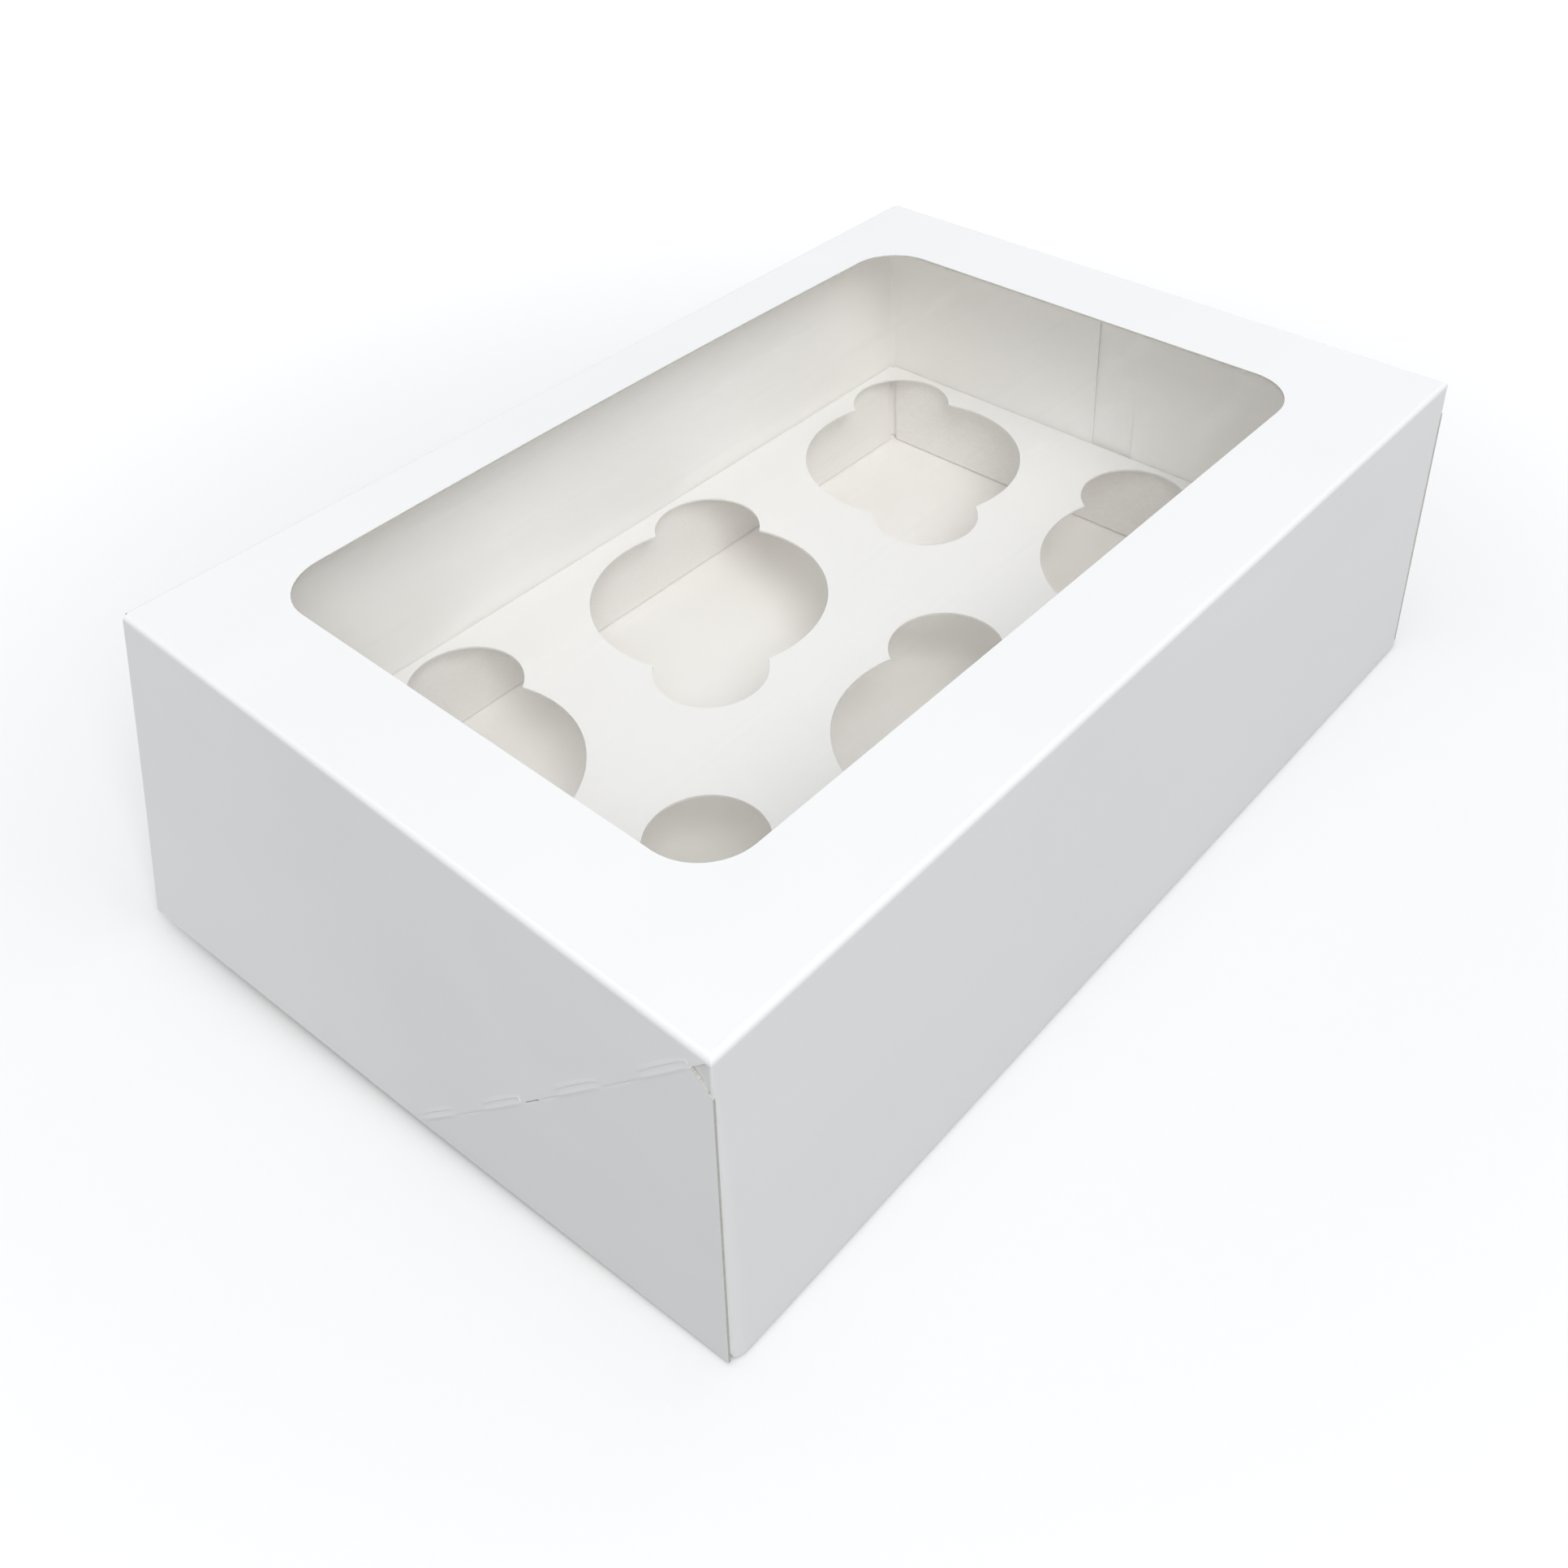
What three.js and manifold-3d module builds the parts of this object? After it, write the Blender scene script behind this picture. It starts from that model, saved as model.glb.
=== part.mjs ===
// Cupcake box for six: a windowed carton with its lid shut, its clear film and its card insert.
// Millimetres, +Z up. The long sides run along X, the front faces -Y and the lid turns on the
// rear edge. The origin is the middle of the underside.
//
// The carton is one folded sheet. Its lid and its tray are two solids here, because the fold
// between them is the hinge.

import * as THREE from 'three';
import { mergeVertices } from 'three/addons/utils/BufferGeometryUtils.js';
import Module from 'manifold-3d';

const wasm = await Module();
wasm.setup();

// Carton
const boxLength = 240;
const boxWidth = 160;
const boxHeight = 76;
const board = 0.5;
const foldRadius = 1.2;
const clearance = 0.3;
const lidLift = 0.5;

// Free lower edge of the lid's end panels, which stand off the tray
const endFlare = 8.5;
const cornerFlare = 1.5;

// Window in the lid
const frontStrip = 23.5;
const rearStrip = 16;
const endStrip = 23;
const windowRadius = 12;

// Film behind the window
const filmThickness = 0.15;
const filmBorder = 9;
const glueLine = 0.2;

// Glued tabs of the lid's front panel, and glued flaps of the tray's long walls
const lidTabLength = 30;
const lidTabDrop = 3;
const frontFlapLength = 77;
const rearFlapLength = 70;
const glueBite = 0.05;

// Cut-crease from each top front corner, at 45 degrees over the lid's end panels
const creaseRun = 15;
const cutRun = 13;
const creaseWidth = 1.8;
const creaseDepth = 0.15;
const slitWidth = 0.25;
const slitLand = 0.5;
const cornerReliefAcross = 4.2;
const cornerReliefDown = 8.6;

// Insert
const card = 0.5;
const insertHeight = 26;
const legCornerGap = 0.6;

// Cup cut-outs: a round hole with a smaller finger lobe at two opposite sides
const columns = 3;
const rows = 2;
const columnPitch = 79;
const rowPitch = 76.5;
const patternShift = new THREE.Vector2(2.5, 5);
const holeRadius = 28.8;
const lobeRadius = 13.4;
const lobeReach = 28;
const lobeAngle = Math.PI / 4;

// Straight steps in each drawn arc
const arcSegments = 8;

// Worked out from the above
const halfLength = boxLength / 2;
const frontFace = -boxWidth / 2;
const rearFace = boxWidth / 2;
const tabFace = halfLength - board;
const trayEnd = halfLength - 2 * board - clearance;
const trayFront = frontFace + board + clearance;
const flapFace = trayEnd - board;
const wallTop = boxHeight - foldRadius;
const rearWallTop = boxHeight - board - clearance;
const insertEnd = trayEnd - 2 * board - clearance;
const insertFront = trayFront + board + clearance;
const insertRear = rearFace - board - clearance;
const insertFoot = board + clearance;

// Solids

// Places are rounded to a tenth of a micron, so that faces drawn in one plane stay in it
function solidOf(geometry) {
  geometry.deleteAttribute('normal');
  geometry.deleteAttribute('uv');
  const place = geometry.getAttribute('position').array;
  place.forEach((value, i) => { place[i] = Math.round(value * 1e4) / 1e4; });
  const merged = mergeVertices(geometry, 1e-4);
  const index = merged.getIndex().array;
  const triangles = [];
  for (let i = 0; i < index.length; i += 3) {
    const [a, b, c] = index.slice(i, i + 3);
    if (a !== b && b !== c && c !== a) triangles.push(a, b, c);
  }
  return new wasm.Manifold(new wasm.Mesh({
    numProp: 3,
    vertProperties: new Float32Array(merged.getAttribute('position').array),
    triVerts: new Uint32Array(triangles),
  }));
}

function geometryOf(solid) {
  const mesh = solid.getMesh();
  const geometry = new THREE.BufferGeometry();
  const position = new Float32Array(mesh.vertProperties);
  geometry.setAttribute('position', new THREE.BufferAttribute(position, 3));
  geometry.setIndex(new THREE.BufferAttribute(new Uint32Array(mesh.triVerts), 1));
  geometry.computeVertexNormals();
  return geometry;
}

function join(solids) {
  return solids.reduce((whole, piece) => whole.add(piece));
}

function cut(solid, tools) {
  return tools.reduce((rest, tool) => rest.subtract(tool), solid);
}

// Extrusions: a shape drawn in the two other axes, from one place to another along the named one

const drawnInYZ = new THREE.Matrix4().makeBasis(
  new THREE.Vector3(0, 1, 0), new THREE.Vector3(0, 0, 1), new THREE.Vector3(1, 0, 0));
const drawnInXZ = new THREE.Matrix4().makeBasis(
  new THREE.Vector3(1, 0, 0), new THREE.Vector3(0, 0, 1), new THREE.Vector3(0, -1, 0));

function extrude(shape, depth) {
  return new THREE.ExtrudeGeometry(shape, {
    depth,
    bevelEnabled: false,
    curveSegments: arcSegments / 2,
  });
}

function alongX(shape, from, to) {
  const geometry = extrude(shape, to - from).applyMatrix4(drawnInYZ);
  return solidOf(geometry.translate(from, 0, 0));
}

function alongY(shape, from, to) {
  const geometry = extrude(shape, to - from).applyMatrix4(drawnInXZ);
  return solidOf(geometry.translate(0, to, 0));
}

function alongZ(shape, from, to) {
  return solidOf(extrude(shape, to - from).translate(0, 0, from));
}

// The same along X for one end of the box: side is -1 or 1, and near and far count outwards
function alongEnd(shape, side, near, far) {
  return side < 0 ? alongX(shape, -far, -near) : alongX(shape, near, far);
}

// Outlines

function polygon(...points) {
  return new THREE.Shape(points.map(([x, y]) => new THREE.Vector2(x, y)));
}

function rectangle(x0, y0, x1, y1) {
  return polygon([x0, y0], [x1, y0], [x1, y1], [x0, y1]);
}

// The radii belong to the corners (x0, y0), (x1, y0), (x1, y1) and (x0, y1)
function roundedRectangle(x0, y0, x1, y1, radii) {
  const shape = new THREE.Shape();
  const centres = [[1, 1], [-1, 1], [-1, -1], [1, -1]];
  const corners = [[x0, y0], [x1, y0], [x1, y1], [x0, y1]];
  corners.forEach(([x, y], i) => {
    const radius = radii[i];
    const start = Math.PI + i * Math.PI / 2;
    if (radius) {
      const [toX, toY] = centres[i];
      shape.absarc(x + toX * radius, y + toY * radius, radius, start, start + Math.PI / 2, false);
    } else if (i) {
      shape.lineTo(x, y);
    } else {
      shape.moveTo(x, y);
    }
  });
  return shape;
}

// Section of a sheet folded at right angles. The corners lead along its outer face, every
// fold turns left, and the thickness lies on the left.
function foldedSheet(corners, thickness) {
  const points = corners.map(([x, y]) => new THREE.Vector2(x, y));
  const heading = (i) => points[i + 1].clone().sub(points[i]).normalize();
  const left = (v) => new THREE.Vector2(-v.y, v.x);
  const last = points.length - 1;
  const folds = [];
  for (let i = 1; i < last; i++) {
    const before = heading(i - 1);
    const after = heading(i);
    const centre = points[i].clone().addScaledVector(before, -foldRadius);
    centre.addScaledVector(after, foldRadius);
    folds.push({ centre, start: after.clone().negate().angle(), end: before.angle() });
  }
  const shape = new THREE.Shape();
  shape.moveTo(points[0].x, points[0].y);
  for (const { centre, start, end } of folds) {
    shape.absarc(centre.x, centre.y, foldRadius, start, end, false);
  }
  shape.lineTo(points[last].x, points[last].y);
  const innerEnd = points[last].clone().addScaledVector(left(heading(last - 1)), thickness);
  shape.lineTo(innerEnd.x, innerEnd.y);
  for (const { centre, start, end } of folds.reverse()) {
    shape.absarc(centre.x, centre.y, foldRadius - thickness, end, start, true);
  }
  const innerStart = points[0].clone().addScaledVector(left(heading(0)), thickness);
  shape.lineTo(innerStart.x, innerStart.y);
  return shape;
}

// What a corner of the carton leaves open in plan: the long panel bends round behind the end
// panel, whose raw edge shows. sideX and sideY say which corner, and the faces count outwards.
function openCorner(sideX, sideY, endFace, longFace) {
  const shape = new THREE.Shape();
  const firstStep = Math.PI / 2 / arcSegments;
  const bend = endFace - board - foldRadius;
  shape.moveTo(bend, longFace + board);
  shape.lineTo(endFace + board, longFace + board);
  shape.lineTo(endFace + board, longFace - clearance);
  shape.lineTo(endFace - board, longFace - clearance);
  shape.absarc(bend, longFace - foldRadius, foldRadius, 0, Math.PI / 2 - firstStep, false);
  const points = shape.getPoints(arcSegments / 2);
  return new THREE.Shape(points.map(({ x, y }) => new THREE.Vector2(sideX * x, sideY * y)));
}

// Lid: a shell open below and at the rear. The front panel's tabs, glued inside the end
// panels, are left standing as its void is cut.

const ends = [-1, 1];
const inner = foldRadius - board;

function lidBlock() {
  const across = roundedRectangle(
    -halfLength, lidLift, halfLength, boxHeight,
    [0, 0, foldRadius, foldRadius]);
  const along = roundedRectangle(
    frontFace, lidLift - board, rearFace, boxHeight,
    [0, 0, 0, foldRadius]);
  return alongY(across, frontFace - board, rearFace + board)
    .intersect(alongX(along, -boxLength, boxLength));
}

function lidVoid() {
  const across = roundedRectangle(
    -halfLength + board, -board, halfLength - board, boxHeight - board,
    [0, 0, inner, inner]);
  const along = roundedRectangle(
    frontFace + board, -2 * board, rearFace + 3 * board, boxHeight - board,
    [0, 0, 0, inner]);
  const hollow = alongY(across, frontFace - board, rearFace + 2 * board)
    .intersect(alongX(along, -boxLength, boxLength));
  return cut(hollow, ends.map(lidTab));
}

function lidTab(side) {
  const foldEnd = frontFace + foldRadius;
  const tabEnd = frontFace + lidTabLength;
  const outline = polygon(
    [frontFace, -boxHeight],
    [foldEnd, -boxHeight],
    [foldEnd + lidTabDrop, lidLift + lidTabDrop],
    [tabEnd, lidLift + lidTabDrop],
    [tabEnd, boxHeight - lidTabLength - lidTabDrop],
    [foldEnd, boxHeight - foldRadius - lidTabDrop],
    [foldEnd, boxHeight - foldRadius],
    [frontFace, boxHeight - foldRadius]);
  return alongEnd(outline, side, tabFace - board, halfLength);
}

function windowCut() {
  const opening = roundedRectangle(
    -halfLength + endStrip, frontFace + frontStrip,
    halfLength - endStrip, rearFace - rearStrip,
    Array(4).fill(windowRadius));
  return alongZ(opening, boxHeight - 2 * board, boxHeight + board);
}

function lidCorner(side) {
  return alongZ(openCorner(side, -1, halfLength, -frontFace), -board, boxHeight - foldRadius);
}

// The tip of each end panel's glued triangle is cut off, which bares the tab behind it
function cornerRelief(side) {
  const beyond = frontFace - foldRadius;
  const belowFold = foldRadius + board;
  const relief = polygon(
    [beyond, boxHeight - belowFold],
    [frontFace + belowFold, boxHeight - belowFold],
    [frontFace + cornerReliefAcross, boxHeight - cornerReliefAcross],
    [frontFace, boxHeight - cornerReliefDown],
    [beyond, boxHeight - cornerReliefDown]);
  return alongEnd(relief, side, tabFace - glueBite, halfLength + board);
}

// Scored runs, grooved on both faces, take turns with cut runs along the diagonal
function creaseCuts(side) {
  const start = cornerReliefAcross * Math.SQRT2;
  const end = boxHeight * Math.SQRT2;
  const half = creaseWidth / 2;
  const outer = side * halfLength;
  const inner = side * (halfLength - board);
  const groove = (face, into) => polygon(
    [-half, face - into],
    [half, face - into],
    [half, face],
    [0, face + into * creaseDepth],
    [-half, face]);
  const slit = rectangle(
    -slitWidth / 2, inner - side * board,
    slitWidth / 2, outer + side * board);
  const cuts = [];
  for (let at = start; at < end; at += creaseRun + cutRun) {
    const run = at + creaseRun < end - cutRun ? creaseRun : end - at;
    cuts.push(alongDiagonal(groove(outer, -side), at, at + run));
    cuts.push(alongDiagonal(groove(inner, side), at, at + run));
    if (run === creaseRun) {
      cuts.push(alongDiagonal(slit, at + run + slitLand, at + run + cutRun - slitLand));
    }
  }
  return cuts;
}

// A shape drawn across the diagonal and through the panel, run down from the top front corner
function alongDiagonal(shape, from, to) {
  const geometry = extrude(shape, to - from).translate(0, 0, from);
  const across = new THREE.Vector3(0, 1, 1).normalize();
  const down = new THREE.Vector3(0, 1, -1).normalize();
  geometry.applyMatrix4(new THREE.Matrix4().makeBasis(across, new THREE.Vector3(1, 0, 0), down));
  return solidOf(geometry.translate(0, frontFace, boxHeight));
}

// How far a point of the end panels stands off its plumb place. The glued triangle under the
// diagonal leans with the corner, and the panel above it turns on its top fold.
function standOff(y, z) {
  const drop = boxHeight - foldRadius;
  const down = Math.max(0, drop - z);
  const along = THREE.MathUtils.clamp(y - frontFace - foldRadius, 0, down);
  const cornerSlope = cornerFlare / drop;
  const endSlope = endFlare / drop;
  return down * cornerSlope + along * (endSlope - cornerSlope);
}

function flareEnds(geometry) {
  const position = geometry.getAttribute('position');
  const edge = tabFace - foldRadius - clearance;
  for (let i = 0; i < position.count; i++) {
    const x = position.getX(i);
    if (Math.abs(x) < edge) continue;
    position.setX(i, x + Math.sign(x) * standOff(position.getY(i), position.getZ(i)));
  }
  geometry.computeVertexNormals();
  return geometry;
}

function lidGeometry() {
  const cuts = ends.flatMap((side) => (
    [lidCorner(side), cornerRelief(side), ...creaseCuts(side)]));
  return flareEnds(geometryOf(cut(lidBlock(), [lidVoid(), windowCut(), ...cuts])));
}

// Tray: a shell open above, with the long walls' flaps left standing inside the end walls

function trayBlock() {
  const across = roundedRectangle(
    -trayEnd, 0, trayEnd, boxHeight,
    [foldRadius, foldRadius, 0, 0]);
  const along = roundedRectangle(
    trayFront, 0, rearFace, rearWallTop,
    [foldRadius, foldRadius, 0, 0]);
  return alongY(across, trayFront - board, rearFace + board)
    .intersect(alongX(along, -boxLength, boxLength));
}

function trayVoid() {
  const across = roundedRectangle(
    -trayEnd + board, board, trayEnd - board, 2 * boxHeight,
    [inner, inner, 0, 0]);
  const along = roundedRectangle(
    trayFront + board, board, rearFace - board, 3 * boxHeight,
    [inner, inner, 0, 0]);
  const hollow = alongY(across, trayFront - board, rearFace + board)
    .intersect(alongX(along, -boxLength, boxLength));
  return cut(hollow, ends.flatMap(trayFlaps));
}

function trayFlaps(side) {
  const outlines = [
    rectangle(trayFront, 0, trayFront + frontFlapLength, boxHeight),
    rectangle(rearFace - rearFlapLength, 0, rearFace, boxHeight),
  ];
  return outlines.map((outline) => alongEnd(outline, side, flapFace - board, trayEnd));
}

// The front and end walls stop where the lid's folds begin
function loweredWalls() {
  const above = rectangle(
    trayFront - board, wallTop,
    rearFace - foldRadius - board, boxHeight);
  return alongX(above, -boxLength, boxLength);
}

function trayCorners(side) {
  return [
    openCorner(side, -1, trayEnd, -trayFront),
    openCorner(side, 1, trayEnd, rearFace),
  ].map((corner) => alongZ(corner, foldRadius, boxHeight));
}

function trayGeometry() {
  const corners = ends.flatMap(trayCorners);
  return geometryOf(cut(trayBlock(), [trayVoid(), loweredWalls(), ...corners]));
}

// Film, glued under the top around the window

function filmGeometry() {
  const outline = rectangle(
    -halfLength + endStrip - filmBorder, frontFace + frontStrip - filmBorder,
    halfLength - endStrip + filmBorder, rearFace - rearStrip + filmBorder);
  const top = boxHeight - board - glueLine;
  return geometryOf(alongZ(outline, top - filmThickness, top));
}

// Insert: a card table with a leg folded down at each side and a cut-out for each cup

function cupCutOut(centre) {
  const across = Math.acos(
    (holeRadius ** 2 + lobeReach ** 2 - lobeRadius ** 2) / (2 * holeRadius * lobeReach));
  const lobeSweep = Math.atan2(
    holeRadius * Math.sin(across), holeRadius * Math.cos(across) - lobeReach);
  const shape = new THREE.Shape();
  for (const turn of [lobeAngle, lobeAngle + Math.PI]) {
    const lobe = new THREE.Vector2(lobeReach, 0).rotateAround(new THREE.Vector2(), turn);
    lobe.add(centre);
    shape.absarc(lobe.x, lobe.y, lobeRadius, turn - lobeSweep, turn + lobeSweep, false);
    shape.absarc(centre.x, centre.y, holeRadius, turn + across, turn + Math.PI - across, false);
  }
  return shape;
}

function cupCentres() {
  const centres = [];
  for (let row = 0; row < rows; row++) {
    for (let column = 0; column < columns; column++) {
      centres.push(new THREE.Vector2(
        (column - (columns - 1) / 2) * columnPitch,
        (row - (rows - 1) / 2) * rowPitch).add(patternShift));
    }
  }
  return centres;
}

function insertGeometry() {
  const inset = foldRadius + legCornerGap;
  const acrossLong = foldedSheet([
    [insertRear, insertFoot],
    [insertRear, insertHeight],
    [insertFront, insertHeight],
    [insertFront, insertFoot],
  ], card);
  const acrossEnds = foldedSheet([
    [insertEnd, insertFoot],
    [insertEnd, insertHeight],
    [-insertEnd, insertHeight],
    [-insertEnd, insertFoot],
  ], card);
  const table = join([
    alongX(acrossLong, -insertEnd + inset, insertEnd - inset),
    alongY(acrossEnds, insertFront + inset, insertRear - inset),
  ]);
  const cutOuts = cupCentres().map((centre) => (
    alongZ(cupCutOut(centre), insertHeight - 2 * card, insertHeight + card)));
  return geometryOf(cut(table, cutOuts));
}

// Parts

const whiteBoard = new THREE.MeshStandardMaterial({
  color: 0xf1f0ee,
  roughness: 0.45,
  metalness: 0,
});
const insertCard = new THREE.MeshStandardMaterial({
  color: 0xf0efec,
  roughness: 0.6,
  metalness: 0,
});
const clearFilm = new THREE.MeshStandardMaterial({
  color: 0xf8fafa,
  roughness: 0.05,
  metalness: 0,
  transparent: true,
  opacity: 0.12,
});

function part(name, geometry, material) {
  const mesh = new THREE.Mesh(geometry, material);
  mesh.name = name;
  return mesh;
}

const cupcakeBox = new THREE.Group();
cupcakeBox.add(
  part('tray', trayGeometry(), whiteBoard),
  part('lid', lidGeometry(), whiteBoard),
  part('window_film', filmGeometry(), clearFilm),
  part('insert', insertGeometry(), insertCard));

export default cupcakeBox;
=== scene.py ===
import math
import bmesh
import bpy
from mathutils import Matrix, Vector


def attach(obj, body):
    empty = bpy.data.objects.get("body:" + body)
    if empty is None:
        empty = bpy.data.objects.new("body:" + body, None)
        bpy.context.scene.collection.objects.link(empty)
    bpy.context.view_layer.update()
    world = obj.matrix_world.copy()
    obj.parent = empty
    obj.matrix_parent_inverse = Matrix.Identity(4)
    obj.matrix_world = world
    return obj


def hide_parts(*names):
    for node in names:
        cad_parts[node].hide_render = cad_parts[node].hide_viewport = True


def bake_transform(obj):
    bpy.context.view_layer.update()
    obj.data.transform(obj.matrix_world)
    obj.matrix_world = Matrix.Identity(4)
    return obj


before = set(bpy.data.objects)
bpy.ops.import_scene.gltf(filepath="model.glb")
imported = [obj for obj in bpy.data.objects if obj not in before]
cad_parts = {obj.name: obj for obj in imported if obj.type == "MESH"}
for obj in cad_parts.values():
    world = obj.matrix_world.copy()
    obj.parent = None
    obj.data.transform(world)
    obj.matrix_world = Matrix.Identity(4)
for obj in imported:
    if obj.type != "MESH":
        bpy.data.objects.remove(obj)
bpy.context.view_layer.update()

mm = 0.001
rightAngle = math.pi / 2
halfRoot = math.sqrt(0.5)
box = {"end": 120, "front": -80, "rear": 80, "top": 76}  # the shut box's outer faces, in millimetres


# selecting and editing

def activate(obj):
    bpy.ops.object.select_all(action="DESELECT")
    obj.select_set(True)
    bpy.context.view_layer.objects.active = obj


def startEdit(obj):
    activate(obj)
    bpy.ops.object.mode_set(mode="EDIT")
    bpy.ops.mesh.select_all(action="DESELECT")


def endEdit():
    bpy.ops.mesh.select_all(action="DESELECT")
    bpy.ops.object.mode_set(mode="OBJECT")


# selects what lies at a place: the test gets millimetres and a direction (none for a vertex)
def pick(obj, kind, test):
    bpy.ops.mesh.select_mode(type=kind)
    bpy.ops.mesh.select_all(action="DESELECT")
    edited = bmesh.from_edit_mesh(obj.data)
    edited.normal_update()
    found = 0
    if kind == "VERT":
        for vert in edited.verts:
            if test(vert.co / mm, None):
                vert.select_set(True)
                found += 1
    elif kind == "EDGE":
        for edge in edited.edges:
            a, b = (vert.co / mm for vert in edge.verts)
            if test((a + b) / 2, (b - a).normalized()):
                edge.select_set(True)
                found += 1
    else:
        for face in edited.faces:
            if test(face.calc_center_median() / mm, face.normal):
                face.select_set(True)
                found += 1
    edited.select_flush_mode()
    bmesh.update_edit_mesh(obj.data)
    return found


def near(value, target, slack=0.02):
    return abs(value - target) < slack


# how far a value has come on its way, from 0 to 1
def portion(value, start, length):
    return min(max((value - start) / length, 0), 1)


def extrudeBy(x, y, z):
    move = {"value": (x * mm, y * mm, z * mm)}
    bpy.ops.mesh.extrude_region_move(TRANSFORM_OT_translate=move)


def bisectAt(obj, place, normal, test):
    pick(obj, "FACE", test)
    bpy.ops.mesh.bisect(plane_co=Vector(place) * mm, plane_no=normal, threshold=1e-7)


# rounds the selected folds
def roundFolds(radius):
    bpy.ops.mesh.bevel(offset=radius * mm, segments=6, profile=0.5, affect="EDGES", clamp_overlap=False)


def modify(obj, kind, **settings):
    activate(obj)
    modifier = obj.modifiers.new(kind.title(), kind)
    for name, value in settings.items():
        setattr(modifier, name, value)
    bpy.ops.object.modifier_apply(modifier=modifier.name)


def setDown(obj):
    activate(obj)
    bpy.ops.object.transform_apply(location=True, rotation=True, scale=True)


def smooth(obj, degrees):
    activate(obj)
    bpy.ops.object.shade_smooth_by_angle(angle=math.radians(degrees))
    modify(obj, "WEIGHTED_NORMAL", keep_sharp=True)


def finishMaterials(obj, materials):
    obj.data.materials.clear()
    for material in materials:
        obj.data.materials.append(material)


# a flat sheet at its size and height, in millimetres
def addSheet(name, low, high, height):
    bpy.ops.object.select_all(action="DESELECT")
    middle = ((low[0] + high[0]) / 2 * mm, (low[1] + high[1]) / 2 * mm, height * mm)
    bpy.ops.mesh.primitive_plane_add(size=1, location=middle)
    sheet = bpy.context.active_object
    sheet.name = name
    sheet.scale = ((high[0] - low[0]) * mm, (high[1] - low[1]) * mm, 1)
    setDown(sheet)
    return sheet


# One sheet of board folded into a tray or, the other way up, a lid: the ends and long walls are
# extruded from the middle panel, and each long wall turns round the corner into a glued flap
def foldBoard(shape):
    end, front, rear = shape["end"], shape["front"], shape["rear"]
    base, radius, way = shape["base"], shape["radius"], shape["way"]
    sheet = addSheet(shape["name"], (-end, front), (end, rear), base)
    startEdit(sheet)

    # the ends first, with their upright edges drawn in a little at the free corner
    for side in (-1, 1):
        pick(sheet, "EDGE", lambda p, d: near(p.x, side * end) and near(p.z, base))
        extrudeBy(0, 0, shape["endFree"] - base)
    for place, inward in ((front, 1), (rear, -1)):
        pick(sheet, "VERT", lambda p, d: near(p.y, place) and near(p.z, shape["endFree"]))
        bpy.ops.transform.translate(value=(0, inward * shape["drawnIn"] * mm, 0))
    for place, free in shape["longWalls"]:
        pick(sheet, "EDGE", lambda p, d: near(p.y, place) and near(p.z, base) and abs(d.x) > 0.9)
        extrudeBy(0, 0, free - base)

    # the folds round the middle panel
    folded = [place for place, free in shape["longWalls"]]
    pick(sheet, "EDGE", lambda p, d: near(p.z, base) and (
        near(abs(p.x), end) or any(near(p.y, place) for place in folded)))
    roundFolds(radius)

    # the long walls' free side edges turn round the corner and run on as flaps
    shoulder = base + way * (radius + 0.25)
    turn = shape["turn"]
    bend = end - shape["board"] - shape["slack"] - turn
    for place, free, length in shape["flaps"]:
        inward = 1 if place < 0 else -1
        bisectAt(sheet, (0, place, shoulder), (0, 0, 1), lambda p, n: near(p.y, place, 0.001))
        for side in (-1, 1):
            pick(sheet, "EDGE", lambda p, d: near(p.x, side * end, 0.1) and near(p.y, place, 0.01)
                 and way * (p.z - shoulder) > 0 and abs(d.z) > 0.99)
            bpy.ops.transform.translate(value=((bend - end) * side * mm, 0, 0))
            middle = (bend * side * mm, (place + inward * turn) * mm, 0)
            bpy.ops.mesh.spin(steps=8, angle=rightAngle, center=middle, axis=(0, 0, -side * inward))
            extrudeBy(0, inward * (length - turn), 0)
    endEdit()
    return sheet


def outward(obj):
    startEdit(obj)
    bpy.ops.mesh.select_all(action="SELECT")
    bpy.ops.mesh.normals_make_consistent(inside=False)
    endEdit()


# How far the end panels stand off their plumb place. The glued triangle under the diagonal leans
# with the corner and the rest turns on its top fold. The left panel is twisted out at the rear, and
# the right one is bowed, with its rear end kicked out.
panelLean = {"fold": 74.8, "corner": -78.8, "lean": 0.02, "leftTurn": 0.07, "rightTurn": 0.0935,
             "twist": 5.2, "twistFrom": -4, "bow": 0.66, "kick": 1.5, "kickFrom": 20, "rise": 4.4,
             "joinFrom": 117.5, "join": 1.9}


def standOff(y, z, side):
    s = panelLean
    down = max(0, s["fold"] - z)
    depth = down / s["fold"]
    along = min(max(y - s["corner"], 0), down)
    if side < 0:
        twist = max(0, (y - s["twistFrom"]) / (box["rear"] - s["twistFrom"]))
        return down * s["lean"] + along * s["leftTurn"] + s["twist"] * twist * depth
    bow = math.sin(math.pi * portion(y, box["front"], box["rear"] - box["front"])) * depth
    kick = max(0, (y - s["kickFrom"]) / (box["rear"] - s["kickFrom"])) ** 2 * depth
    return down * s["lean"] + along * s["rightTurn"] - s["bow"] * bow + s["kick"] * kick


# the end panels' lower edges rise a little towards the rear
def taperRise(y, z):
    depth = max(0, panelLean["fold"] - z) / panelLean["fold"]
    return panelLean["rise"] * portion(y, box["front"], box["rear"] - box["front"]) * depth ** 2


# the top's strip behind the window rises a little in the middle of its length
rearStrip = {"rise": 1.1, "end": 97, "front": 60, "slope": 4, "fold": 78.8, "fall": 14.8}


def stripRise(x, y):
    s = rearStrip
    if abs(x) >= s["end"] or y <= s["front"]:
        return 0
    crown = max(0, math.cos(x / s["end"] * rightAngle))
    return s["rise"] * crown * min(max((y - s["front"]) / s["slope"], 0), (s["fold"] - y) / s["fall"], 1)


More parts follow.
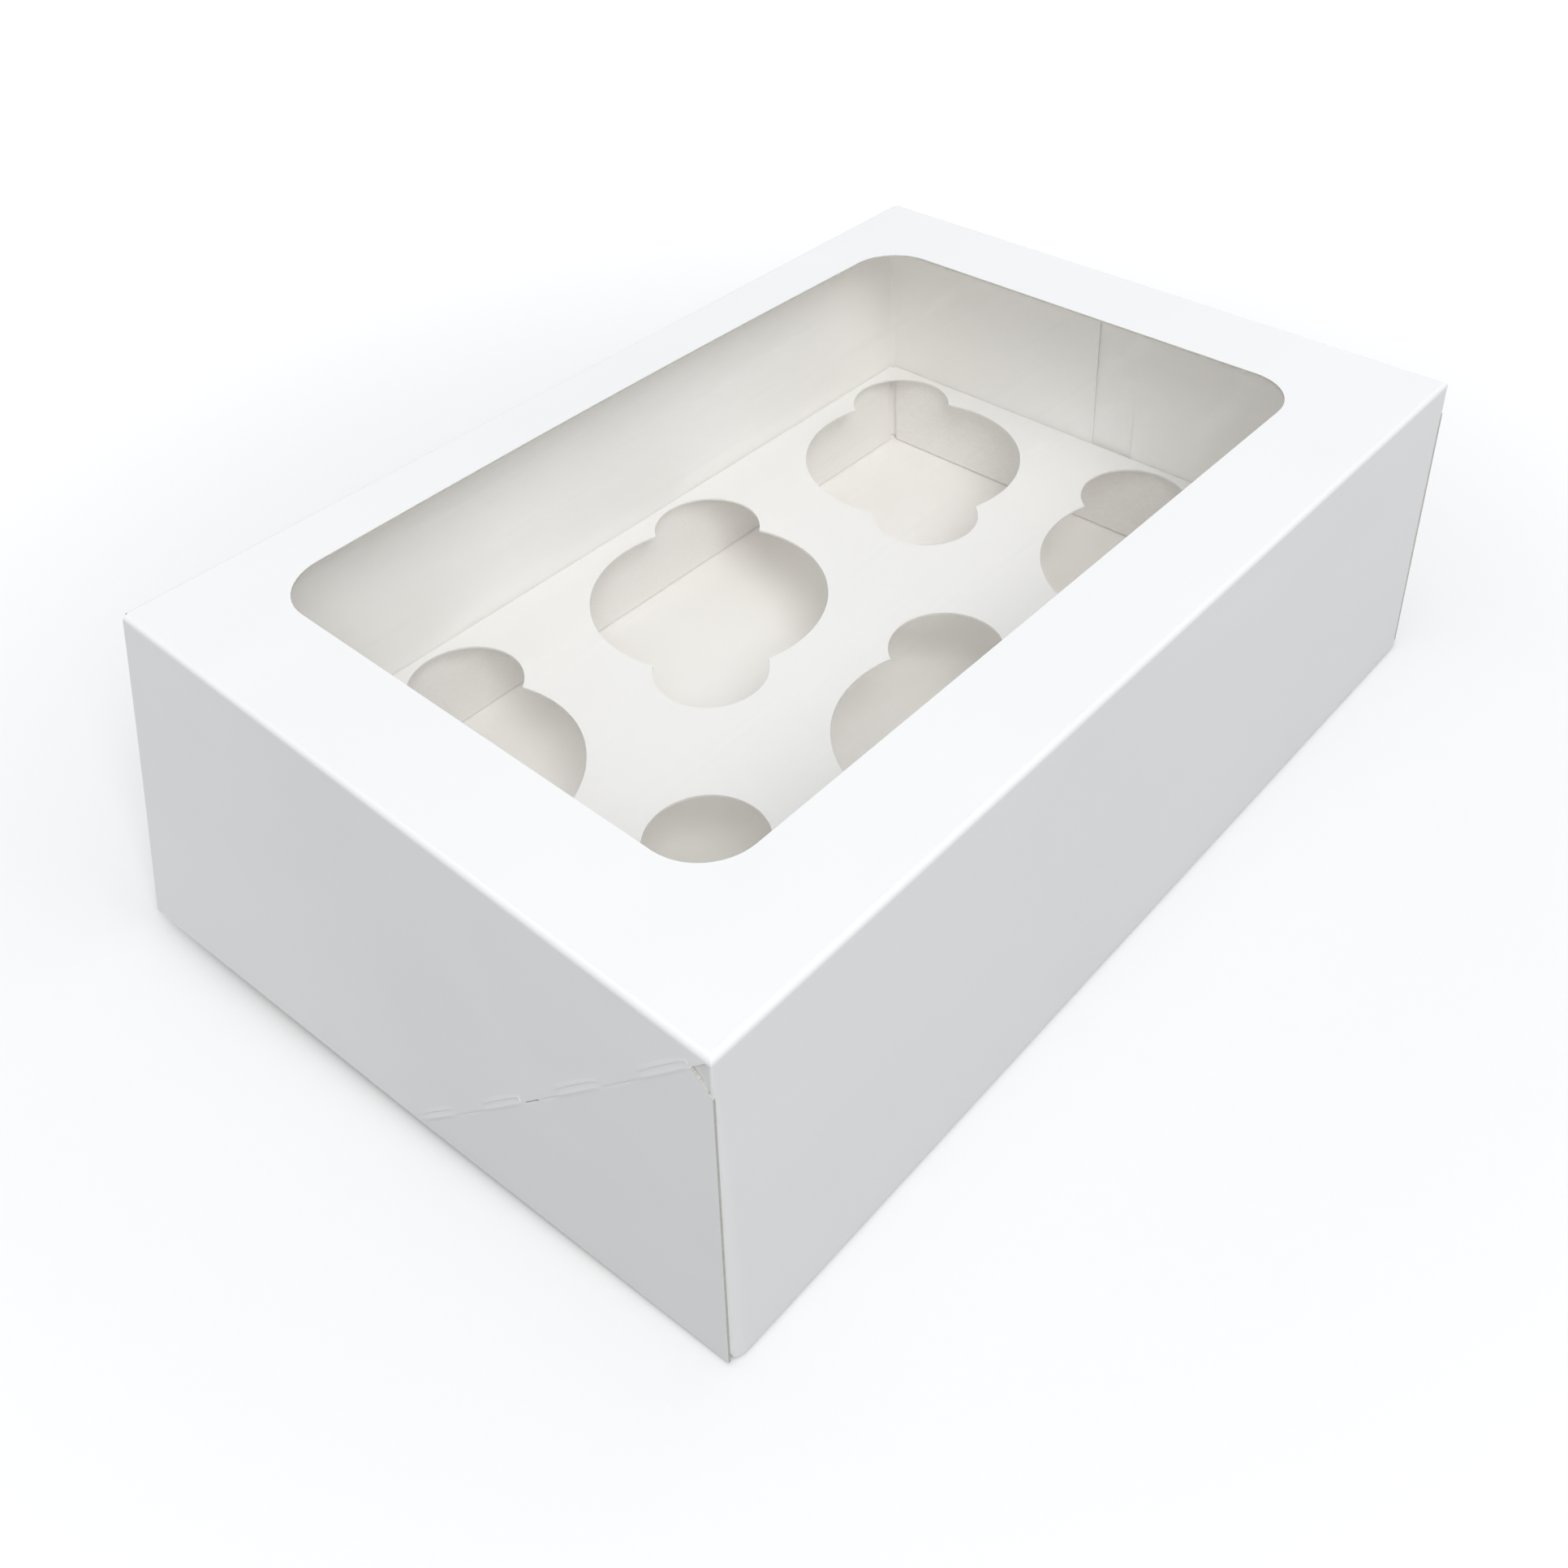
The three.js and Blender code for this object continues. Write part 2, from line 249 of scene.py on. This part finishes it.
# Diagonal cut-crease of an end panel. A scored run is a long shallow groove between two raised rims,
# the lower one on the diagonal, and between two scored runs the board is cut. The rims and cut edges
# are white as the cracked coat, lightened further as a painted highlight. Each entry is where a run
# starts and ends, in millimetres down from the top front corner.
creaseRuns = [("scored", 6, 21), ("cut", 21, 34), ("scored", 34, 49), ("cut", 49, 55), ("open", 55, 62),
              ("scored", 62, 77), ("cut", 77, 90), ("scored", 90, 104)]
rimProfile = {-0.8: 0, -0.45: 0, -0.18: 1, 0: 1, 0.18: 1, 0.5: -0.3, 1.05: -0.3,
              1.3: 1, 1.56: 1, 1.85: 0, 2.2: 0}
# slot of the white crease finish: cracked coat, with a painted highlight on the rims and cut edges
whitenedHighlitSlot = 3
rimHeight = 0.12
cutStep = 0.14
panelTop = 74.7  # the end panels' flat part ends under the top fold
crossCuts = (0, 0.04, 0.12, 0.22, 0.35, 0.5, 0.65, 0.78, 0.88, 0.96)  # shares of a run's length
cutTip = {"y": -78, "z": 69.6, "slope": 1.05, "rear": -75.5, "bottom": 67}
# bands across the diagonal: the white rims and cut edges, which carry a painted highlight, the open
# slit, and all that is shaped
lowRim, highRim, slit, creaseBand = (-0.17, 0.17), (1.31, 1.55), (-0.17, -0.01), (-0.8, 2.2)


def downCrease(p):
    return ((p.y - box["front"]) - (p.z - box["top"])) * halfRoot


def acrossCrease(p):
    return ((p.y - box["front"]) + (p.z - box["top"])) * halfRoot


def byCrease(p):
    return creaseBand[0] < acrossCrease(p) < creaseBand[1]


def runAt(down):
    for kind, start, end in creaseRuns:
        if start <= down <= end:
            return kind, (down - start) / (end - start)
    return None, 0


def scoreEnd(sheet, side):
    def onPanel(p, n):
        return near(p.x, side * box["end"], 0.004) and abs(n.x) > 0.9

    for offset in rimProfile:
        place = (0, box["front"] + offset * halfRoot, box["top"] + offset * halfRoot)
        bisectAt(sheet, place, (0, 1, 1), onPanel)

    # across the diagonal, at the ends of the runs and where they swell
    for kind, start, end in creaseRuns:
        for share in crossCuts:
            at = (start + share * (end - start)) * halfRoot
            bisectAt(sheet, (0, box["front"] + at, box["top"] - at), (0, 1, -1),
                     lambda p, n: onPanel(p, n) and byCrease(p))

    # the rims and the cut edges are painted white, as the cracked coat and as a painted highlight, and the
    # middle cut stands open
    def inRun(p, n, kinds, band):
        return onPanel(p, n) and runAt(downCrease(p))[0] in kinds and band[0] < acrossCrease(p) < band[1]
    pick(sheet, "FACE", lambda p, n: inRun(p, n, ("open",), slit)
         and crossCuts[2] < runAt(downCrease(p))[1] < crossCuts[-2])
    bpy.ops.mesh.delete(type="FACE")
    sheet.active_material_index = whitenedHighlitSlot
    pick(sheet, "FACE", lambda p, n: inRun(p, n, ("scored",), highRim)
         or inRun(p, n, ("scored", "cut", "open"), lowRim))
    bpy.ops.object.material_slot_assign()

    # the tip of the glued triangle is cut off
    def underCrease(p, n):
        return onPanel(p, n) and acrossCrease(p) < -0.05
    bisectAt(sheet, (0, cutTip["y"], cutTip["z"]), (0, 1, -cutTip["slope"]), underCrease)
    pick(sheet, "FACE", lambda p, n: underCrease(p, n) and p.y < cutTip["rear"] and p.z > cutTip["bottom"]
         and (p.y - cutTip["y"]) - cutTip["slope"] * (p.z - cutTip["z"]) < 0)
    bpy.ops.mesh.delete(type="FACE")


# shapes the runs, once the panel is in its faces: the two rims meet at both ends of a run
def shapeRuns(sheet, side):
    for vert in sheet.data.vertices:
        p = vert.co / mm
        down, across = downCrease(p), acrossCrease(p)
        kind, share = runAt(down)
        onPanel = near(p.x, side * box["end"], 0.004) and p.z <= panelTop
        if kind is None or not onPanel or not -0.7 < across < 2.1:
            continue
        swell = math.sin(math.pi * share)
        if kind == "scored":
            height = rimProfile[min(rimProfile, key=lambda offset: abs(offset - across))]
            closed = max(across - 0.5, 0) * (swell ** 0.2 - 1) * 0.8 * halfRoot
            vert.co += Vector((side * height * swell ** 0.3 * rimHeight, closed, closed)) * mm
        elif across < 0:
            step = cutStep * min((across + 0.8) / 0.62, 1)
            vert.co.x -= side * step * swell * mm


# A turned corner is sharp under the top's fold, and widens to its full radius lower down. Behind
# the cut-off tip of the glued triangle it is pushed out.
cornerShape = {"sharp": 0.2, "widens": 40, "push": 0.55, "pushFrom": 66, "pushRise": 2.6, "lift": 0.3}


def tightenCorners(sheet, shape):
    s = cornerShape
    corner = shape["end"] - shape["board"] - shape["slack"]
    fold = shape["base"] - shape["radius"]
    for vert in sheet.data.vertices:
        x, y, z = vert.co / mm
        if corner - shape["turn"] - 0.01 < abs(x) < corner + 0.01 and z < fold - 0.1 \
                and y < shape["front"] + shape["turn"] + 0.01:
            keep = s["sharp"] + (1 - s["sharp"]) * min((shape["base"] - z) / s["widens"], 1)
            push = s["push"] * portion(z, s["pushFrom"], s["pushRise"])
            if near(z, fold - 0.25) and y > shape["front"] + 0.01:
                vert.co.z += s["lift"] * mm
            vert.co.x = math.copysign(corner + push - (corner - abs(x)) * keep, x) * mm
            vert.co.y = (shape["front"] + (y - shape["front"]) * keep) * mm


# an upright cutter with rounded corners
def roundedCutter(name, low, high, z, radius, depth):
    cutter = addSheet(name, low, high, z)
    startEdit(cutter)
    bpy.ops.mesh.select_mode(type="VERT")
    bpy.ops.mesh.select_all(action="SELECT")
    bpy.ops.mesh.bevel(offset=radius * mm, segments=12, affect="VERTICES")
    bpy.ops.mesh.select_all(action="SELECT")
    extrudeBy(0, 0, depth)
    endEdit()
    outward(cutter)
    return cutter


def cutAway(obj, cutter):
    modify(obj, "BOOLEAN", operation="DIFFERENCE", solver="EXACT", object=cutter, material_mode="TRANSFER")
    bpy.data.objects.remove(cutter)


def giveBoard(obj, thickness, materials):
    if not obj.data.materials:
        finishMaterials(obj, materials)
    modify(obj, "SOLIDIFY", thickness=thickness * mm, offset=-1, material_offset=1, material_offset_rim=2,
           use_even_offset=False)


# colours and finishes

# arithmetic on a shader value, so that a finish can be written as a sum
class Shade:
    def __init__(self, finish, socket):
        self.finish = finish
        self.socket = socket

    def maths(self, operation, other):
        return self.finish.node("ShaderNodeMath", {"operation": operation}, {0: self, 1: other})

    def __add__(self, other):
        return self.maths("ADD", other)

    def __mul__(self, other):
        return self.maths("MULTIPLY", other)

    __radd__ = __add__
    __rmul__ = __mul__


class Finish:
    def __init__(self, name):
        self.material = bpy.data.materials.new(name)
        self.material.use_nodes = True
        self.tree = self.material.node_tree
        self.shader = self.tree.nodes["Principled BSDF"]
        self.place = self.node("ShaderNodeTexCoord", {}, {}, "Object")

    def node(self, kind, settings, values, output=0):
        made = self.tree.nodes.new(kind)
        for name, value in settings.items():
            setattr(made, name, value)
        for name, value in values.items():
            self.link(made.inputs[name], value)
        return Shade(self, made.outputs[output])

    def link(self, socket, value):
        if isinstance(value, Shade):
            self.tree.links.new(value.socket, socket)
        else:
            socket.default_value = value

    def stretched(self, x, y, z):
        return self.node("ShaderNodeMapping", {}, {"Vector": self.place, "Scale": (x, y, z)})

    def noise(self, scale, detail=3, roughness=0.5, where=None):
        return self.node("ShaderNodeTexNoise", {}, {"Vector": where or self.place, "Scale": scale,
                         "Detail": detail, "Roughness": roughness})

    def ramp(self, value, low, high):
        return self.node("ShaderNodeMapRange", {"interpolation_type": "SMOOTHSTEP"}, {"Value": value,
                         "From Min": low, "From Max": high})

    def mix(self, factor, a, b):
        first, second = ((*colour, 1) if isinstance(colour, tuple) else colour for colour in (a, b))
        return self.node("ShaderNodeMix", {"data_type": "RGBA"}, {0: factor, 6: first, 7: second}, 2)

    def bump(self, height, distance, strength):
        return self.node("ShaderNodeBump", {}, {"Height": height, "Distance": distance * mm,
                         "Strength": strength})

    def set(self, **values):
        for name, value in values.items():
            self.link(self.shader.inputs[name.replace("_", " ")], value)
        return self.material


# white clay coat on the outside: even, with a soft sheen and the board's faint long ripple
def coatedBoard():
    finish = Finish("coatedBoard")
    tooth = finish.noise(2600, 4, 0.6)
    ripple = finish.noise(1, 2, 0.5, finish.stretched(9, 26, 26))
    cloud = finish.ramp(finish.noise(14, 3), 0.3, 0.7)
    return finish.set(
        Base_Color=finish.mix(cloud, (0.870, 0.874, 0.879), (0.888, 0.888, 0.888)),
        Roughness=0.40 + tooth * 0.10,
        Normal=finish.bump(ripple * 3 + tooth * 0.02, 0.35, 0.5),
        Coat_Weight=0.10 + cloud * 0.05,
        Specular_IOR_Level=0.45, Coat_Roughness=0.35)


# the uncoated side is a little warmer and rougher, with fibres and rare specks
def reverseBoard():
    finish = Finish("reverseBoard")
    fibre = finish.noise(1, 5, 0.62, finish.stretched(900, 2600, 2600))
    cloud = finish.ramp(finish.noise(22, 4), 0.3, 0.7)
    specks = finish.ramp(finish.noise(1500, 1), 0.80, 0.84)
    ground = finish.mix(cloud, (0.895, 0.880, 0.855), (0.914, 0.902, 0.880))
    return finish.set(
        Base_Color=finish.mix(specks * 0.35, ground, (0.55, 0.47, 0.38)),
        Roughness=0.66 + fibre * 0.16,
        Normal=finish.bump(fibre, 0.05, 0.4),
        Specular_IOR_Level=0.35)


def rawEdge():
    finish = Finish("rawEdge")
    plies = finish.noise(1, 3, 0.6, finish.stretched(500, 500, 6000))
    return finish.set(
        Base_Color=finish.mix(finish.ramp(plies, 0.35, 0.65), (0.49, 0.485, 0.44), (0.62, 0.61, 0.57)),
        Roughness=0.85 + plies * 0.1,
        Normal=finish.bump(plies, 0.03, 0.5))


# the insert's smoother card
def insertCard():
    finish = Finish("insertCard")
    fibre = finish.noise(1, 4, 0.6, finish.stretched(2400, 900, 2400))
    cloud = finish.ramp(finish.noise(18, 3), 0.3, 0.7)
    return finish.set(
        Base_Color=finish.mix(cloud, (0.880, 0.875, 0.862), (0.897, 0.893, 0.882)),
        Roughness=0.55 + fibre * 0.14,
        Normal=finish.bump(fibre, 0.03, 0.35))


# the card's underside is greyer
def cardBack():
    finish = Finish("cardBack")
    fibre = finish.noise(1, 4, 0.6, finish.stretched(2400, 900, 2400))
    return finish.set(
        Base_Color=finish.mix(finish.ramp(fibre, 0.3, 0.7), (0.81, 0.797, 0.772), (0.865, 0.852, 0.83)),
        Roughness=0.75 + fibre * 0.15,
        Normal=finish.bump(fibre, 0.03, 0.35))


# the cut edges of the card and of the tray's board are paler than the lid's
def cutCard():
    finish = Finish("cutCard")
    plies = finish.noise(1, 3, 0.6, finish.stretched(500, 500, 6000))
    return finish.set(
        Base_Color=finish.mix(plies, (0.78, 0.765, 0.735), (0.86, 0.85, 0.83)),
        Roughness=0.8 + plies * 0.12,
        Normal=finish.bump(plies, 0.02, 0.4))


def clearFilm():
    finish = Finish("clearFilm")
    streaks = finish.ramp(finish.noise(1, 3, 0.5, finish.stretched(12, 160, 1)), 0.5, 0.75)
    return finish.set(
        Base_Color=finish.mix(streaks, (0.93, 0.94, 0.94), (0.97, 0.98, 0.98)),
        Alpha=0.035 + streaks * 0.02,
        Roughness=0.06 + streaks * 0.08)


# where the coat has cracked or the board is cut: white and dull, and lighter than the coat as a
# painted highlight on the crease rims and cut edges
def whitenedHighlitBoard():
    finish = Finish("whitenedHighlitBoard")
    crazing = finish.noise(3200, 4, 0.7)
    return finish.set(
        Base_Color=finish.mix(crazing, (0.95, 0.95, 0.94), (0.90, 0.90, 0.88)),
        Roughness=0.75 + crazing * 0.15,
        Normal=finish.bump(crazing, 0.03, 0.4),
        Specular_IOR_Level=0.3)


coated, reverse, raw, whitenedHighlit = coatedBoard(), reverseBoard(), rawEdge(), whitenedHighlitBoard()
card, under, cut, film = insertCard(), cardBack(), cutCard(), clearFilm()


# the lid: top, front panel and two end panels, open below and at the rear
lidShape = {"name": "lidBoard", "end": box["end"], "front": box["front"], "rear": 78.8, "base": box["top"],
            "way": -1, "endFree": 0.5, "longWalls": [(box["front"], 0.5)], "board": 0.5, "slack": 0.12,
            "drawnIn": 0.8, "radius": 1.2, "turn": 1.9, "flaps": [(box["front"], 0.5, 30)]}
tabShape = {"rows": (71, 68.6, 66, 58, 48, 36), "top": 74.3, "start": -77.2, "slope": 1.015,
            "y": -50, "z": 46.5, "lift": 1.1}
windowShape = {"low": (-97, -56.5), "high": (97, 64), "radius": 12, "z": 70, "depth": 10}
topBoard = 75.3  # faces above this are the top's


def makeLid():
    lid = foldBoard(lidShape)
    finishMaterials(lid, (coated, reverse, raw, whitenedHighlit))

    # the glued tabs are lifted off the table and slanted under the crease
    startEdit(lid)
    tab = lidShape["end"] - lidShape["board"] - lidShape["slack"]
    turned = lidShape["front"] + lidShape["turn"] + 0.1
    for z in tabShape["rows"]:
        bisectAt(lid, (0, 0, z), (0, 0, 1), lambda p, n: tab - lidShape["turn"] < abs(p.x) < tab + 0.01
                 and p.y < turned and p.z < tabShape["top"])
    for side in (-1, 1):
        # the tab's slanted edge, which starts right under the fold
        def onTab(p, n):
            return near(p.x, side * tab, 0.01) and p.y > turned
        bisectAt(lid, (0, tabShape["start"], 0), (0, 1, 0), onTab)
        bisectAt(lid, (0, tabShape["y"], tabShape["z"]), (0, tabShape["slope"], 1), onTab)
        pick(lid, "FACE", lambda p, n: onTab(p, n)
             and tabShape["slope"] * (p.y - tabShape["y"]) + p.z > tabShape["z"])
        bpy.ops.mesh.delete(type="FACE")
        pick(lid, "VERT", lambda p, d: near(p.z, lidShape["endFree"]) and near(p.x, side * tab, 0.2)
             and p.y < -40)
        bpy.ops.transform.translate(value=(0, 0, tabShape["lift"] * mm))
        scoreEnd(lid, side)

    # cross cuts give the end panels the faces that their twist and bow need, and then they lean
    def endPanel(p, n):
        return abs(p.x) > 119.3 and p.z < panelTop and not byCrease(p)
    for y in range(-70, 80, 10):
        bisectAt(lid, (0, y, 0), (0, 1, 0), endPanel)
    for z in (12, 26, 40, 54, 66):
        bisectAt(lid, (0, 0, z), (0, 0, 1), endPanel)
    endEdit()
    tightenCorners(lid, lidShape)
    for side in (-1, 1):
        shapeRuns(lid, side)
    for vert in lid.data.vertices:
        x, y, z = vert.co / mm
        share = portion(abs(x), panelLean["joinFrom"], panelLean["join"])
        side = math.copysign(1, x)
        if z < 74.75:
            vert.co.x += side * standOff(y, z, side) * share * mm
            vert.co.z += taperRise(y, z) * share * mm
    outward(lid)
    giveBoard(lid, lidShape["board"], (coated, reverse, raw))

    window = roundedCutter("windowCutter", **windowShape)
    finishMaterials(window, [raw])
    cutAway(lid, window)

    # the rear strip is bowed up along the window
    startEdit(lid)
    for x in range(-100, 101, 10):
        bisectAt(lid, (x, 0, 0), (1, 0, 0), lambda p, n: p.z > topBoard and p.y > 40)
    for y in (60, 68, 74):
        bisectAt(lid, (0, y, 0), (0, 1, 0), lambda p, n: p.z > topBoard)
    endEdit()
    for vert in lid.data.vertices:
        x, y, z = vert.co / mm
        if z > topBoard:
            vert.co.z += stripRise(x, y) * mm
    smooth(lid, 30)
    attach(lid, "lid")
    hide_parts("lid")
    return lid


trayShape = {"name": "trayBoard", "end": 118.7, "front": -79.2, "rear": box["rear"], "base": 0, "way": 1,
             "endFree": 74.6, "longWalls": [(-79.2, 74.8), (box["rear"], 74.8)], "board": 0.5,
             "slack": 0.03, "drawnIn": 0.4, "radius": 1.2, "turn": 1.4,
             "flaps": [(-79.2, 74.8, 77), (box["rear"], 74.8, 70)]}


def makeTray():
    tray = foldBoard(trayShape)
    outward(tray)
    giveBoard(tray, trayShape["board"], (coated, reverse, cut))
    smooth(tray, 30)
    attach(tray, "tray")
    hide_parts("tray")
    return tray


insertShape = {"end": 117.4, "front": -78.4, "rear": 79.2, "top": 26, "foot": 0.8, "notch": 1.8,
               "radius": 1.2, "card": 0.5}
cupShape = {"hole": 28.8, "lobe": 13.4, "reach": 28, "pitch": (79, 76.5), "shift": (2.5, 5)}


def makeInsert():
    s = insertShape
    insert = addSheet("insertCard", (-s["end"], s["front"]), (s["end"], s["rear"]), s["top"])
    startEdit(insert)
    for side in (-1, 1):
        bisectAt(insert, (side * (s["end"] - s["notch"]), 0, 0), (1, 0, 0), lambda p, n: True)
    for y in (s["front"] + s["notch"], s["rear"] - s["notch"]):
        bisectAt(insert, (0, y, 0), (0, 1, 0), lambda p, n: True)
    pick(insert, "FACE", lambda p, n: abs(p.x) > s["end"] - s["notch"]
         and (p.y < s["front"] + s["notch"] or p.y > s["rear"] - s["notch"]))
    bpy.ops.mesh.delete(type="FACE")
    sides = [(0, -s["end"]), (0, s["end"]), (1, s["front"]), (1, s["rear"])]
    for axis, place in sides:
        pick(insert, "EDGE", lambda p, d: near(p[axis], place) and near(p.z, s["top"])
             and abs(d[axis]) < 0.1)
        extrudeBy(0, 0, s["foot"] - s["top"])
    pick(insert, "EDGE", lambda p, d: near(p.z, s["top"]) and any(
        near(p[axis], place) and abs(d[axis]) < 0.1 for axis, place in sides))
    roundFolds(s["radius"])
    endEdit()
    outward(insert)
    giveBoard(insert, s["card"], (card, under, cut))

    # one cup cut-out with its two finger lobes, copied to the six places
    bpy.ops.object.select_all(action="DESELECT")
    bpy.ops.mesh.primitive_cylinder_add(vertices=96, radius=cupShape["hole"] * mm, depth=10 * mm,
                                        location=(0, 0, s["top"] * mm))
    hole = bpy.context.active_object
    setDown(hole)
    for way in (-1, 1):
        across = way * cupShape["reach"] * 0.7071 * mm
        bpy.ops.mesh.primitive_cylinder_add(vertices=64, radius=cupShape["lobe"] * mm, depth=9 * mm,
                                            location=(across, across, s["top"] * mm))
        lobe = bpy.context.active_object
        setDown(lobe)
        modify(hole, "BOOLEAN", operation="UNION", solver="EXACT", object=lobe)
        bpy.data.objects.remove(lobe)
    finishMaterials(hole, [cut])
    for column in (-1, 0, 1):
        for row in (-0.5, 0.5):
            cutter = hole.copy()
            cutter.data = hole.data.copy()
            bpy.context.collection.objects.link(cutter)
            cutter.location = ((cupShape["shift"][0] + column * cupShape["pitch"][0]) * mm,
                               (cupShape["shift"][1] + row * cupShape["pitch"][1]) * mm, 0)
            setDown(cutter)
            cutAway(insert, cutter)
    bpy.data.objects.remove(hole)
    smooth(insert, 30)
    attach(insert, "tray")
    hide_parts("insert")
    return insert


# the film lies under the top and follows its rear strip
filmShape = {"low": (-106, -65.5), "high": (106, 73), "top": 75.30, "thickness": 0.15,
             "rows": (-56, -30, 0, 30, 60, 64, 68)}


def makeFilm():
    sheet = addSheet("windowFilm", filmShape["low"], filmShape["high"], filmShape["top"])
    startEdit(sheet)
    for x in range(-100, 101, 10):
        bisectAt(sheet, (x, 0, 0), (1, 0, 0), lambda p, n: True)
    for y in filmShape["rows"]:
        bisectAt(sheet, (0, y, 0), (0, 1, 0), lambda p, n: True)
    endEdit()
    for vert in sheet.data.vertices:
        vert.co.z += stripRise(vert.co.x / mm, vert.co.y / mm) * mm
    modify(sheet, "SOLIDIFY", thickness=filmShape["thickness"] * mm, offset=-1)
    finishMaterials(sheet, [film])
    smooth(sheet, 30)
    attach(sheet, "lid")
    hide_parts("window_film")
    return sheet


# the fold between the rear wall and the lid, which is the hinge
hingeShape = {"end": 118.7, "y": 78.8, "z": 74.8, "board": 0.5}


def makeHinge():
    s = hingeShape
    hinge = addSheet("hingeFold", (-s["end"], s["y"]), (s["end"], box["rear"]), s["z"])
    startEdit(hinge)
    pick(hinge, "FACE", lambda p, n: True)
    bpy.ops.mesh.delete(type="ONLY_FACE")
    pick(hinge, "EDGE", lambda p, d: not near(p.y, box["rear"], 0.01))
    bpy.ops.mesh.delete(type="EDGE")
    pick(hinge, "EDGE", lambda p, d: True)
    bpy.ops.mesh.spin(steps=10, angle=rightAngle, center=(0, s["y"] * mm, s["z"] * mm), axis=(-1, 0, 0))
    endEdit()
    outward(hinge)
    giveBoard(hinge, s["board"], (coated, reverse, raw))
    smooth(hinge, 40)
    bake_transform(hinge)
    return hinge


for make in (makeLid, makeTray, makeInsert, makeFilm, makeHinge):
    piece = make()
    print("made", piece.name, len(piece.data.polygons), "faces")


# floor, daylight and camera

seenBy = ("Is Camera Ray", "Is Glossy Ray", "Is Transmission Ray")
floorBounce = 0.18
floorSeen = 0.90
floorGlow = {"start": 0.12, "full": 0.55, "strength": 0.4}
skyColour = (0.97, 0.985, 1, 1)
skyStrength = 0.60
overheadPower = 7.45
keyPower = 38.0


def makeStage():
    bpy.ops.object.select_all(action="DESELECT")
    bpy.ops.mesh.primitive_plane_add(size=8, location=(0, 0, 0))
    floor = bpy.context.active_object
    floor.name = "floor"
    # white to the camera, and dark to what it lights, so that the walls keep their shade
    finish = Finish("floorPaper")
    grain = finish.noise(60, 2)
    toEye = sum(finish.node("ShaderNodeLightPath", {}, {}, ray) for ray in seenBy)
    away = finish.node("ShaderNodeVectorMath", {"operation": "LENGTH"}, {0: finish.place}, 1)
    far = finish.ramp(away, floorGlow["start"], floorGlow["full"]) * toEye
    finish.set(Emission_Color=finish.mix(far, (0, 0, 0), (floorGlow["strength"],) * 3), Emission_Strength=1,
               Base_Color=finish.mix(toEye, (floorBounce,) * 3, (floorSeen,) * 3),
               Roughness=0.9 + grain * 0.05, Specular_IOR_Level=0.1)
    finishMaterials(floor, [finish.material])

    world = bpy.data.worlds.new("daylight")
    bpy.context.scene.world = world
    world.use_nodes = True
    tree = world.node_tree
    tree.nodes.clear()
    path = tree.nodes.new("ShaderNodeLightPath")
    seen = tree.nodes.new("ShaderNodeBackground")
    seen.inputs["Color"].default_value = (1, 1, 1, 1)
    seen.inputs["Strength"].default_value = 1
    lit = tree.nodes.new("ShaderNodeBackground")
    lit.inputs["Color"].default_value = skyColour
    lit.inputs["Strength"].default_value = skyStrength
    chosen = tree.nodes.new("ShaderNodeMixShader")
    output = tree.nodes.new("ShaderNodeOutputWorld")
    rays = path.outputs[seenBy[0]]
    for ray in seenBy[1:]:
        both = tree.nodes.new("ShaderNodeMath")
        tree.links.new(rays, both.inputs[0])
        tree.links.new(path.outputs[ray], both.inputs[1])
        rays = both.outputs[0]
    tree.links.new(rays, chosen.inputs[0])
    tree.links.new(lit.outputs[0], chosen.inputs[1])
    tree.links.new(seen.outputs[0], chosen.inputs[2])
    tree.links.new(chosen.outputs[0], output.inputs["Surface"])


# a square soft lamp that faces the box
def addLamp(name, place, size, power):
    light = bpy.data.lights.new(name, "AREA")
    light.shape = "RECTANGLE"
    light.size = light.size_y = size
    light.energy = power
    lamp = bpy.data.objects.new(name, light)
    bpy.context.collection.objects.link(lamp)
    lamp.location = place
    lamp.rotation_euler = (-Vector(place)).to_track_quat("-Z", "Y").to_euler()


makeStage()
addLamp("overheadSoftbox", (-0.1, -0.1, 2.6), 1.6, overheadPower)
addLamp("keySoftbox", (-0.95, -1.56, 2.07), 1.3, keyPower)

# the photo's camera, solved from the box's corners
photoCamera = {"place": (-0.2220, -0.19565, 0.2746), "degrees": (56.7978, 2.1520, -48.0237),
               "sensor": 36, "lens": 38.970, "shift": -0.19979}
camera = bpy.data.objects.new("camera", bpy.data.cameras.new("camera"))
bpy.context.collection.objects.link(camera)
camera.location = photoCamera["place"]
camera.rotation_euler = [math.radians(turn) for turn in photoCamera["degrees"]]
camera.data.sensor_width = photoCamera["sensor"]
camera.data.lens = photoCamera["lens"]
camera.data.shift_y = photoCamera["shift"]
camera.data.clip_start = 0.01
bpy.context.scene.camera = camera
bpy.context.scene.view_settings.view_transform = "Standard"
bpy.context.scene.cycles.diffuse_bounces = 12  # the inside is lit mostly by light that has bounced
